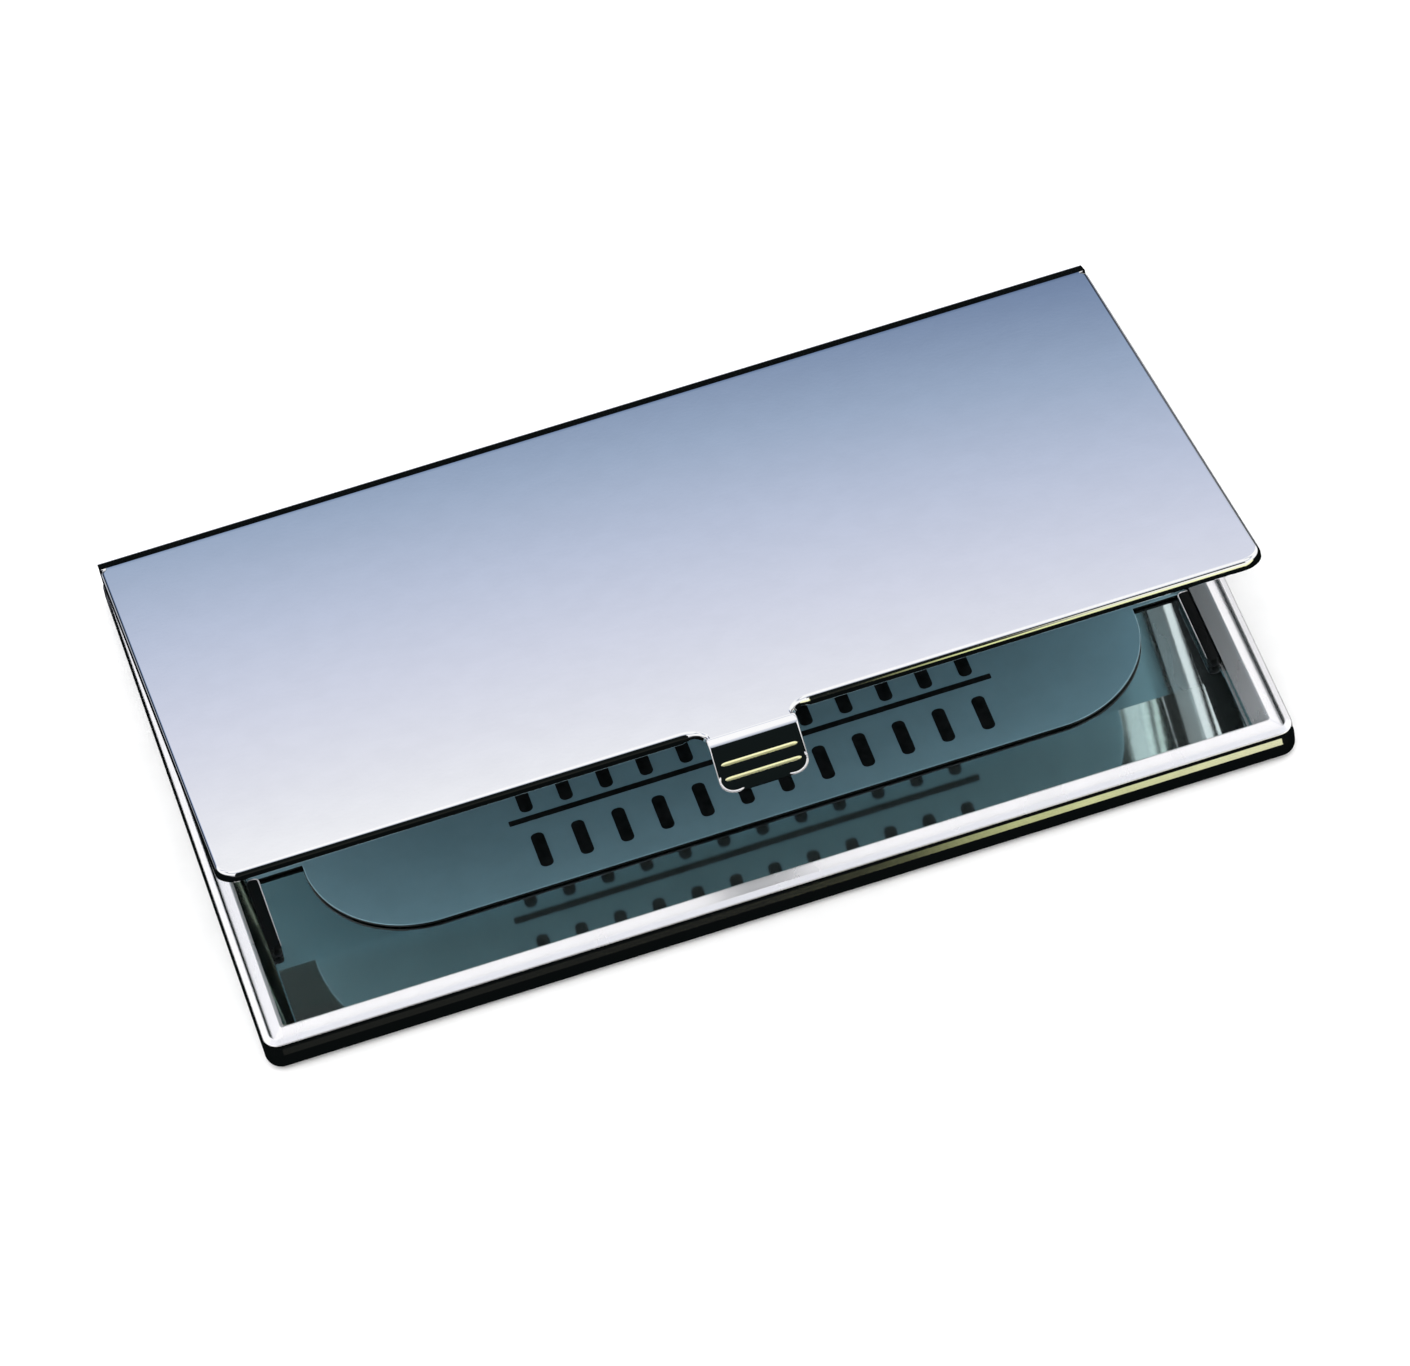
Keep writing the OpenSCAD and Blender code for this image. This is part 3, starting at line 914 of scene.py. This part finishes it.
# The same for the sides, which the rims show
SIDE_STOPS = [
    (0.000, (0.003, 0.004, 0.004)),
    (0.040, (0.020, 0.022, 0.025)),
    (0.080, (0.700, 0.700, 0.730)),
    (0.120, (1.000, 1.000, 1.000)),
    (0.380, (1.000, 1.000, 1.000)),
    (0.470, (0.660, 0.690, 0.760)),
    (0.600, (0.340, 0.380, 0.460)),
]


def tent_colours(name, table, tilt=0.0):
    """Glowing material of one side of the tent, from a table of heights and colours."""
    span = table[-1][0]
    stops = [(height / span, colour + (1,)) for height, colour in table]
    return emission(name, stops, 0.0, span, tilt=tilt)


def build_studio():
    floor_material = Nodes("floor_paper")
    grain = floor_material.noise(300, 3)
    tint = floor_material.ramp(grain, [(0.4, (0.93, 0.93, 0.93, 1)), (0.6, (0.95, 0.95, 0.95, 1))])
    floor_material.link(tint, "Color", floor_material.bsdf, "Base Color")
    floor_material.bsdf.inputs["Roughness"].default_value = 0.9
    floor = add_disc("floor", 6.0, BASE_LOW[2] * MM - 0.00002, floor_material.material)
    floor.visible_glossy = False

    back = tent_colours("tent_back", BACK_STOPS, BACK_TILT)
    front = tent_colours("tent_front", FRONT_STOPS)
    side = tent_colours("tent_side", SIDE_STOPS)
    walls = (("tent_right", side), ("tent_back", back), ("tent_left", side), ("tent_front", front))
    for (name, colours), start, end in zip(walls, TENT_CORNERS, TENT_CORNERS[1:]):
        curved_card(name, TENT_R, start, end, TENT_BOTTOM, TENT_TOP, colours)

    grey = (0.34, 0.38, 0.46, 1)
    pale_grey = (0.70, 0.73, 0.79, 1)
    white = (1, 1, 1, 1)
    ceiling_stops = [(0.0, grey), (0.25, pale_grey), (0.4, white), (1, white)]
    ceiling = emission("tent_ceiling", ceiling_stops, -TENT_R, TENT_R, axis="Y")
    glossy_only(add_disc("tent_ceiling", TENT_R, TENT_TOP, ceiling))
    black = (0.003, 0.004, 0.004, 1)
    dark = emission("tent_floor", [(0, black), (1, black)], 0, 1)
    glossy_only(add_disc("tent_floor", TENT_R, -0.01, dark))

    # Light strip of table behind the case, which the lid shows when it stands open
    dim = (0.02, 0.02, 0.025, 1)
    near = (0.55, 0.58, 0.64, 1)
    far = (0.30, 0.33, 0.38, 1)
    strip_front = 0.042
    strip_back = 0.12
    table_stops = [(0.0, dim), (0.14, near), (0.55, far), (1.0, dim)]
    table = emission("table_card", table_stops, strip_front, strip_back, axis="Y")
    flat_card("table_card", 0.12, strip_front, strip_back, -0.008, table)

    # Yellowish cards at the front right: the low one shows on the tray, the high one on the lid's lip
    card_r = TENT_R - 0.02
    card_from = 240
    card_to = 330
    card_split = 0.058
    warm_stops = [(0.0, (0.015, 0.016, 0.014, 1)), (0.3, (0.75, 0.80, 0.36, 1))]
    warm_stops += [(1.0, (1.0, 1.0, 0.62, 1))]
    warm = emission("warm_card_low", warm_stops, 0.060, 0.11, axis="X")
    curved_card("warm_card_low", card_r, card_from, card_to, 0.005, card_split, warm)
    pale_stops = [(0.0, (0.006, 0.008, 0.008, 1)), (0.4, (0.80, 0.80, 0.62, 1))]
    pale_stops += [(1.0, (1.0, 1.0, 0.94, 1))]
    pale = emission("pale_card", pale_stops, 0.080, 0.110, axis="X")
    curved_card("pale_card", card_r, card_from, card_to, card_split, 0.22, pale)

    world = bpy.data.worlds.new("studio")
    world.use_nodes = True
    world.node_tree.nodes["Background"].inputs["Color"].default_value = (1, 1, 1, 1)
    world.node_tree.nodes["Background"].inputs["Strength"].default_value = 1.5
    bpy.context.scene.world = world

    key = bpy.data.lights.new("key", "AREA")
    key.shape = "DISK"
    key.size = 0.9
    key.energy = 2.0
    key_obj = bpy.data.objects.new("key", key)
    key_obj.location = (-0.3, -0.2, 1.2)
    key_obj.rotation_euler = (Vector((0, 0, 0)) - key_obj.location).to_track_quat("-Z", "Y").to_euler()
    key_obj.visible_glossy = False
    bpy.context.scene.collection.objects.link(key_obj)


CAMERA_PLACE = (-78.75, -505.92, 577.56)
CAMERA_AZIMUTH = math.radians(8.97)
CAMERA_ELEVATION = math.radians(48.53)
CAMERA_ROLL = math.radians(-10.4)
CAMERA_LENS = 221.45


def build_camera():
    """Camera at the viewing angle, distance and roll of the reference view."""
    level = math.cos(CAMERA_ELEVATION)
    across = math.sin(CAMERA_AZIMUTH) * level
    ahead = math.cos(CAMERA_AZIMUTH) * level
    forward = Vector((across, ahead, -math.sin(CAMERA_ELEVATION)))
    camera = bpy.data.cameras.new("camera")
    camera.lens = CAMERA_LENS
    camera.sensor_width = 36.0
    camera.clip_start = 0.01
    obj = bpy.data.objects.new("camera", camera)
    place = Matrix.Translation(Vector(CAMERA_PLACE) * MM)
    upright = forward.to_track_quat("-Z", "Y").to_matrix().to_4x4()
    obj.matrix_world = place @ upright @ Matrix.Rotation(CAMERA_ROLL, 4, "Z")
    bpy.context.scene.collection.objects.link(obj)
    bpy.context.scene.camera = obj


for node in ("hinge_leaf", "leaf_rivets", "hinge_pin", "pin_cap_left", "pin_cap_right"):
    put_material(frame["nodes"][node], HINGE_METAL)

build_base_shell()
build_liner()
build_rail(-1, "card_rail_left")
build_rail(1, "card_rail_right")
build_card_plate()
build_marks()
build_clamp()
build_lid()
build_lid_liner()
build_tab_beads()
build_studio()
build_camera()
bpy.context.scene.view_settings.view_transform = "Standard"
